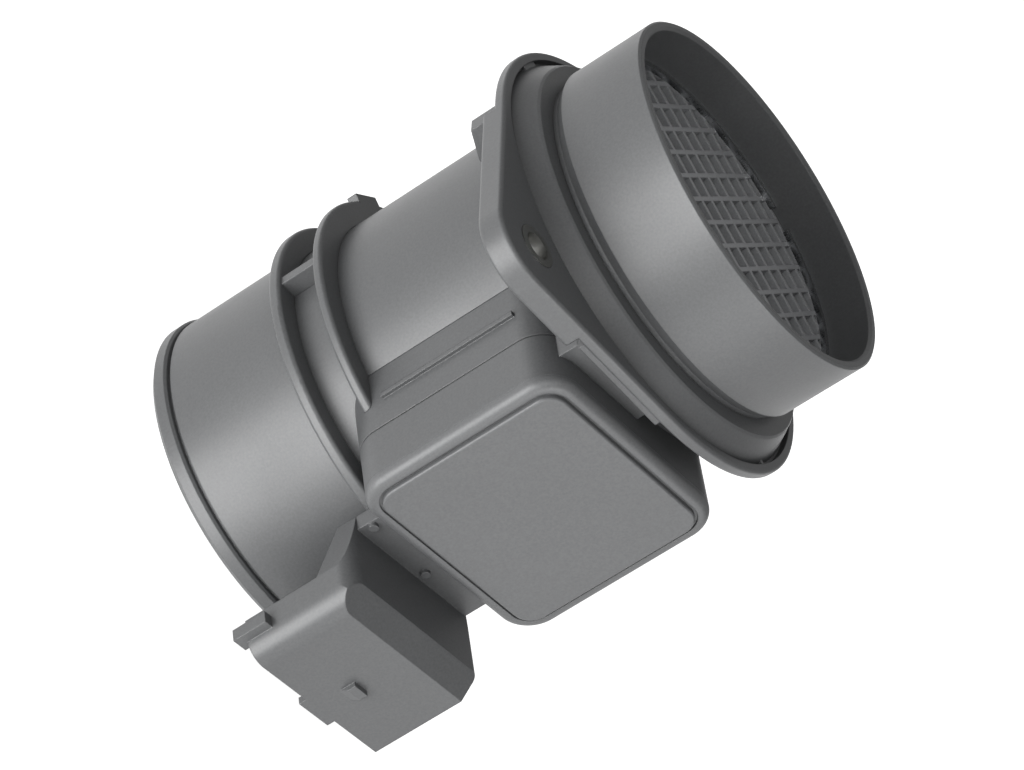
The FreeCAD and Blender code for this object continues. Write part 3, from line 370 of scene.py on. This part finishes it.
# Each finish with the CAD nodes that wear it
DRESSING: tuple[tuple[Finish, tuple[str, ...]], ...] = (
    (MouldedPlastic("glass_filled_polyester", "#525354"),
     ("tube_body", "inlet_mouth", "mounting_flange", "tube_fins", "case_pedestal",
      "electronics_case", "connector_housing")),
    (MouldedPlastic("glass_filled_polyester_lid", "#5a5b5c"), ("case_lid",)),
    (MouldedPlastic("polyamide_grid", "#8c8d8f", 0.4, Grain.FINE), ("inlet_grid",)),
    (MouldedPlastic("polyester_probe", "#3a3a3c", 0.4, Grain.FINE),
     ("bypass_housing", "bypass_cover")),
    (MouldedPlastic("epoxy_moulding_compound", "#202021", 0.5, Grain.FINE),
     ("measuring_chip", "power_transistor", "resistors", "air_thermistor")),
    (WorkedMetal("spring_steel_wire", "#b4b6b8", 0.28), ("grid_snap_ring",)),
    (WorkedMetal("turned_zinc_plated_steel", "#8f8f8c", 0.42),
     ("flange_sleeve_near", "flange_sleeve_far")),
    (WorkedMetal("tin_plated_brass", "#c9c7bd", 0.3),
     tuple(f"terminal_{number}" for number in range(1, TERMINAL_COUNT + 1))),
    (WorkedMetal("rolled_aluminium", "#c4c6c8", 0.34), ("base_plate", "bond_ribbons")),
    (SealRubber("silicone_seal", "#2a2a2b"), ("case_o_ring",)),
    (SealRubber("silicone_adhesive", "#333334"), ("lid_seal",)),
    (SealRubber("silicone_gel", "#b9bcb8", 0.2), ("protective_gel",)),
    (SinteredCeramic("alumina_board", "#e4e1da"), ("sensing_tongue", "circuit_board")),
    (SinteredCeramic("glass_passivated_film", "#4c5258", 0.2), ("hot_film",)),
    (SinteredCeramic("capacitor_ceramic", "#9c8466", 0.35), ("capacitors",)),
)


def dress(nodes: dict, names: Sequence[str], material: bpy.types.Material) -> None:
    """Give carried-over CAD nodes a finish.

    Args:
        nodes: The frame's nodes by name.
        names: The nodes that take the finish.
        material: The finish.
    """
    for name in names:
        piece = nodes[name]
        if piece.material_slots:
            for slot in piece.material_slots:
                slot.material = material
        else:
            piece.data.materials.append(material)
        LOG.info("node %s wears %s", name, material.name)


@dataclass
class Camera:
    """The photograph's viewpoint, as fitted to the part's measured edges."""

    position: tuple[float, float, float] = (-0.57971, -0.67814, 0.40656)
    direction: tuple[float, float, float] = (0.61143, 0.70440, -0.36051)
    roll_degrees: float = 58.15
    lens_mm: float = 154.4
    sensor_mm: float = 36.0
    nearest: float = 0.05
    farthest: float = 20.0

    def build(self) -> bpy.types.Object:
        """Add the camera and make it the scene's own.

        Returns:
            The camera object.
        """
        data = bpy.data.cameras.new("photo_camera")
        data.lens = self.lens_mm
        data.sensor_width = self.sensor_mm
        data.clip_start = self.nearest
        data.clip_end = self.farthest
        camera = bpy.data.objects.new("photo_camera", data)
        bpy.context.scene.collection.objects.link(camera)
        level = Vector(self.direction).to_track_quat("-Z", "Y")
        roll = Quaternion((0.0, 0.0, 1.0), math.radians(self.roll_degrees))
        camera.rotation_mode = "QUATERNION"
        camera.rotation_quaternion = level @ roll
        camera.location = self.position
        bpy.context.scene.camera = camera
        return camera


@dataclass(frozen=True)
class Lamp:
    """One soft box, placed by its direction as the camera sees it (right, up, back)."""

    name: str
    direction: tuple[float, float, float]
    distance: float
    size: float
    watts: float


@dataclass
class Studio:
    """A pale floor, even white surroundings and a few soft boxes."""

    target: tuple[float, float, float] = (0.0, -0.01, 0.065)
    ambient: float = 0.38
    background: float = 1.0
    gloss_level: float = 0.35
    floor_size: float = 8.0
    floor_colour: str = "#f2f2f2"
    floor_roughness: float = 0.9
    floor_lift: float = 0.9
    lamps: Sequence[Lamp] = (
        Lamp("key_box", (-0.72, -0.10, 0.68), 1.3, 1.10, 23.0),
        Lamp("fill_box", (0.25, -0.80, 0.55), 1.4, 0.80, 6.0),
        Lamp("front_box", (0.10, 0.20, 0.97), 1.3, 0.80, 3.0),
    )

    def build_world(self) -> None:
        """Light the part evenly from all round and show white to the camera."""
        world = bpy.data.worlds.new("studio_world")
        bpy.context.scene.world = world
        world.use_nodes = True
        tree = world.node_tree
        tree.nodes.clear()
        path = add_node(tree, "ShaderNodeLightPath")
        ambient, gloss, white = [
            add_node(tree, "ShaderNodeBackground", {"Color": WHITE, "Strength": strength})
            for strength in (self.ambient, self.gloss_level, self.background)
        ]
        shiny = add_node(
            tree, "ShaderNodeMixShader", None,
            {FACTOR: path.outputs["Is Glossy Ray"], FIRST_SHADER: ambient.outputs[0],
             SECOND_SHADER: gloss.outputs[0]})
        seen = add_node(
            tree, "ShaderNodeMixShader", None,
            {FACTOR: path.outputs["Is Camera Ray"], FIRST_SHADER: shiny.outputs[0],
             SECOND_SHADER: white.outputs[0]})
        add_node(tree, "ShaderNodeOutputWorld", None, {"Surface": seen.outputs[0]})

    def build_floor(self) -> None:
        """Add the floor that the part stands on."""
        bpy.ops.mesh.primitive_plane_add(size=self.floor_size, location=(0, 0, 0))
        floor = bpy.context.object
        floor.name = "studio_floor"
        material = bpy.data.materials.new("matte_paper_floor")
        material.use_nodes = True
        tree = material.node_tree
        shader = tree.nodes["Principled BSDF"]
        shader.inputs["Base Color"].default_value = linear(self.floor_colour)
        shader.inputs["Roughness"].default_value = self.floor_roughness
        path = add_node(tree, "ShaderNodeLightPath")
        shown = add_node(
            tree, "ShaderNodeMath", {"operation": "MAXIMUM"},
            {0: path.outputs["Is Camera Ray"], 1: path.outputs["Is Glossy Ray"]})
        lift = add_node(
            tree, "ShaderNodeMath", {"operation": "MULTIPLY", 1: self.floor_lift},
            {0: shown.outputs[0]})
        glow = add_node(
            tree, "ShaderNodeEmission", {"Color": WHITE}, {"Strength": lift.outputs[0]})
        both = add_node(
            tree, "ShaderNodeAddShader", None, {0: shader.outputs[0], 1: glow.outputs[0]})
        tree.links.new(both.outputs[0], tree.nodes["Material Output"].inputs["Surface"])
        floor.data.materials.append(material)
        # The key box is lower than the floor and shines up through it.
        floor.visible_shadow = False

    def build_lamps(self, camera: bpy.types.Object) -> None:
        """Add the soft boxes.

        Args:
            camera: The camera that the lamps' directions are given in.
        """
        target = Vector(self.target)
        for lamp in self.lamps:
            data = bpy.data.lights.new(lamp.name, "AREA")
            data.energy = lamp.watts
            data.size = lamp.size
            data.cycles.use_multiple_importance_sampling = False
            light = bpy.data.objects.new(lamp.name, data)
            bpy.context.scene.collection.objects.link(light)
            towards = camera.rotation_quaternion @ Vector(lamp.direction).normalized()
            light.location = target + towards * lamp.distance
            light.rotation_mode = "QUATERNION"
            light.rotation_quaternion = towards.to_track_quat("Z", "Y")


def main() -> None:
    """Load the frame, dress it, add the studio and report each piece."""
    logging.basicConfig(level=logging.INFO, format="%(message)s")
    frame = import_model()
    for finish, names in DRESSING:
        dress(frame["nodes"], names, finish.build())

    camera = Camera().build()
    studio = Studio()
    studio.build_world()
    studio.build_floor()
    studio.build_lamps(camera)
    bpy.context.scene.view_settings.view_transform = "Standard"


if __name__ == "__main__":
    main()
